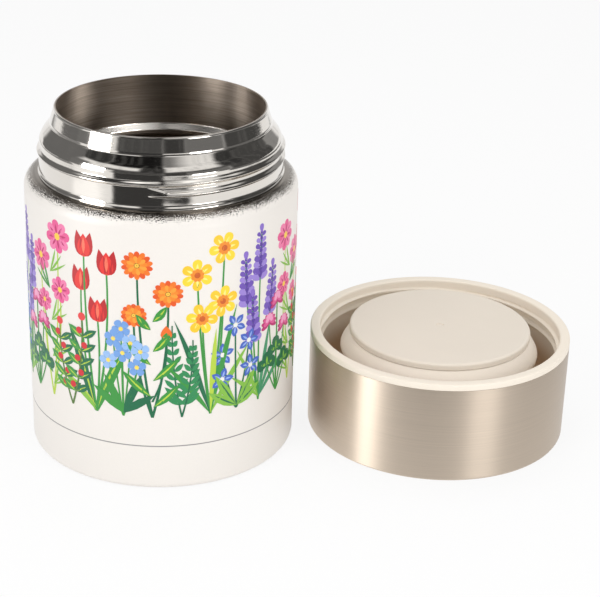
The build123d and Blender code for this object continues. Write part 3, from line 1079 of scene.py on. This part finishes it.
class FOODJAR_OT_stage(Piece):
    """Sets the camera, the pale floor, the lamps and the studio that the steel reflects"""

    bl_idname = "foodjar.stage"
    bl_label = "Stage"

    def make(self, jar, tint, lid, lid_tint):
        bpy.context.scene.view_settings.view_transform = "Standard"
        self.camera()
        self.world()
        self.floor()
        centre, lid_wall, mouth = (45, 0, 50), (80, -30, 18), (0, 0, jar.rim)  # what the lamps face
        vessel = "inner_vessel", "inner_bottom"
        self.lamp("key", (-460, -520, 420), centre, 360, 360, 1.65)
        self.lamp("fill", (480, -520, 360), centre, 420, 420, 1.4)
        self.lamp("top", (60, 120, 820), centre, 420, 420, 1.05)
        self.lamp("lid_streak", (-430, -205, 130), lid_wall, 190, 260, 1.55, shine=True)
        self.lamp("lid_glow", (330, -440, 48), lid_wall, 210, 92, 0.38, shine=True)
        self.lamp("bore_right", (233, 58, 183), mouth, 34, 46, 0.36, shine=True, only=vessel)
        self.lamp("bore_left", (-228, 74, 183), mouth, 24, 46, 0.34, shine=True, only=vessel)
        self.lamp("bore_front", (230, -190, 330), mouth, 220, 60, 0.6, shine=True, only=vessel)

    def camera(self):
        """A long lens that looks down on both pieces from in front of the jar."""
        (sink, level), (lean, upright), (aside, onward) = map(sine_cosine, (DOWN, ROLL, HEADING))
        ahead = Vector((aside * level, onward * level, -sink))
        right = Vector((onward, -aside, 0))
        up = right.cross(ahead)
        across, above = right * upright + up * lean, up * upright - right * lean
        data = bpy.data.cameras.new("view")
        data.sensor_width, data.lens = SENSOR, LENS
        data.clip_start, data.clip_end = 0.01, 20.0
        camera = add("view", data)
        turn = Matrix((across, above, -ahead)).transposed().to_4x4()
        camera.matrix_world = Matrix.Translation(Vector(EYE) * MM) @ turn
        bpy.context.scene.camera = camera

    def world(self):
        """White all round for the camera. Steel sees it with the dark gaps and the clutter of a studio."""
        world = bpy.data.worlds.new("studio")
        bpy.context.scene.world = world
        world.use_nodes = True
        world.cycles.sampling_method = "NONE"
        tree = Tree(world.node_tree)
        x, y, z = tree.axes(tree.coordinates("Generated"))
        around = x.math("ARCTAN2", x, -y) * (360 / TAU)
        above = z.math("ARCSINE", z) * (360 / TAU)

        def patch(left, right, low, high, soft):
            return around.between(left, right, soft) * above.between(low, high, soft)

        gaps = [patch(*edges) * share for *edges, share in GAPS]
        gaps.append(around.between(-10, 24, 22) * above.rise(46, 50) * above.fall(68, 74) * 0.85)
        gaps.append(above.rise(74, 80) * 0.75)
        # Behind the jar it is dull, with narrow strips that are darker and one that is lighter.
        strips = around.between(-182, -164, 1) + around.between(175, 182, 1) + around.between(155, 163, 1)
        dull = 0.6 + 0.37 * strips - 0.52 * around.between(163, 175, 1)
        gaps.append(abs(around).rise(118, 138) * above.rise(22, 30) * dull)
        dark = greatest(*gaps)

        places = tree.vector(around * 0.2, above * 0.07)
        clutter = tree.noise(places, 1.0, 2.0, 0.6).rise(0.52, 0.58) * above.fall(58, 64)
        level = (STUDIO + CEILING * patch(-95, 95, 70, 76, 2)) * (1 - 0.99 * dark)
        level = level * (1 - 0.22 * clutter) + 0.05 * clutter * dark
        plain = tree.rays("Is Camera Ray", "Is Transmission Ray")
        metal = tree.rays("Is Glossy Ray")
        strength = plain + (1 - plain) * (metal * level + (1 - metal) * MATT_LIGHT)
        sky = tree.node("ShaderNodeBackground", {}, {"Color": (1, 1, 1, 1), "Strength": strength})
        tree.node("ShaderNodeOutputWorld", {}, {"Surface": sky})

    def floor(self):
        """A pale floor that keeps the shadows. Steel sees it with dark gaps and one bright sheen."""
        fresh()
        bpy.ops.mesh.primitive_plane_add(size=FLOOR_SIZE, location=FLOOR_CENTRE)
        floor = bpy.context.object
        floor.name = "floor"
        finish = Finish("pale_floor", roughness=0.9)
        finish.set("Base Color", (0.93, 0.93, 0.93))
        x, y, _ = finish.axes(finish.coordinates("Object"))
        x, y = (x + FLOOR_CENTRE[0]) * (1 / MM), y * (1 / MM)
        slant, lean = x - y * 0.99, x + y * 1.9
        front = y.fall(-190, -165) * slant.rise(-15, 15) * x.fall(-8, 6)
        near = y.rise(-350, -310) * y.fall(-200, -180) * x.rise(-8, 6) * x.fall(105, 130)
        far = y.fall(-700, -620) * x.rise(-8, 6) * lean.fall(-40, 0)
        right = x.rise(325, 355) * lean.rise(-40, 0) * y.fall(500, 600)
        left = x.fall(-370, -335) * y.rise(-40, 0) * y.fall(600, 800)
        gap = front + near + 0.87 * far + 0.87 * right + 0.75 * left
        sheen = x.rise(-340, -300) * x.fall(-200, -170) * y.rise(-200, -150) * y.fall(-40, 0)
        metal = finish.rays("Is Glossy Ray")
        seen = finish.rays("Is Camera Ray", "Is Glossy Ray", "Is Transmission Ray")
        mirrored = (0.97 + 0.33 * sheen) * (1 - 0.985 * gap)
        strength = 1 - metal * (1 - mirrored)
        white = finish.node("ShaderNodeEmission", {}, {"Color": (1, 1, 1, 1), "Strength": strength})
        body = Wire(finish, finish.shader.outputs["BSDF"])
        share = seen * (0.85 + 0.12 * metal)
        shown = finish.node("ShaderNodeMixShader", {}, {0: share, 1: body, 2: white})
        finish.tree.links.new(shown.socket, finish.output.inputs["Surface"])
        finish.material.cycles.emission_sampling = "NONE"
        finish.on(floor)

    def lamp(self, name, place, target, wide, tall, power, shine=False, only=()):
        """Lights the matt surfaces, or with shine only the steel, which mirrors it. only names the nodes
        that it reaches, where it doesn't reach them all."""
        data = bpy.data.lights.new(name, "AREA")
        data.shape, data.size, data.size_y, data.energy = "RECTANGLE", wide * MM, tall * MM, power
        lamp = add(name, data)
        lamp.visible_camera, lamp.visible_glossy, lamp.visible_diffuse = False, shine, not shine
        if only:
            lamp.light_linking.receiver_collection = reached = bpy.data.collections.new(name)
            for node in only:
                reached.objects.link(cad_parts[node])
        lamp.location = Vector(place) * MM
        lamp.rotation_mode = "QUATERNION"
        lamp.rotation_quaternion = (Vector(target) * MM - lamp.location).to_track_quat("-Z", "Y")


class FOODJAR_PT_panel(bpy.types.Panel):
    """Lists the pieces and their sizes and colours"""

    bl_idname = "FOODJAR_PT_panel"
    bl_label = "Food jar"
    bl_space_type = "VIEW_3D"
    bl_region_type = "UI"
    bl_category = "Food jar"

    def draw(self, context):
        layout = self.layout
        for operator in OPERATORS:
            layout.operator(operator.bl_idname)
        for group in GROUPS:
            box = layout.box()
            settings = getattr(context.scene, group)
            for key in settings.bl_rna.properties.keys():
                if key not in ("rna_type", "name"):
                    box.prop(settings, key)


OPERATORS = (
    FOODJAR_OT_stage,
    FOODJAR_OT_shell,
    FOODJAR_OT_print,
    FOODJAR_OT_neck,
    FOODJAR_OT_inside,
    FOODJAR_OT_base,
    FOODJAR_OT_lid_cover,
    FOODJAR_OT_lid_liner,
    FOODJAR_OT_stopper,
)
GROUPS = {
    "jar_sizes": JarSizes,
    "jar_colours": JarColours,
    "lid_sizes": LidSizes,
    "lid_colours": LidColours,
}
CLASSES = (*GROUPS.values(), *OPERATORS, FOODJAR_PT_panel)


def register():
    for made in CLASSES:
        bpy.utils.register_class(made)
    for name, group in GROUPS.items():
        setattr(bpy.types.Scene, name, bpy.props.PointerProperty(type=group))


def unregister():
    for name in GROUPS:
        delattr(bpy.types.Scene, name)
    for made in reversed(CLASSES):
        bpy.utils.unregister_class(made)


def main():
    register()
    for operator in OPERATORS:
        group, name = operator.bl_idname.split(".")
        getattr(getattr(bpy.ops, group), name)()


if __name__ == "__main__":
    main()
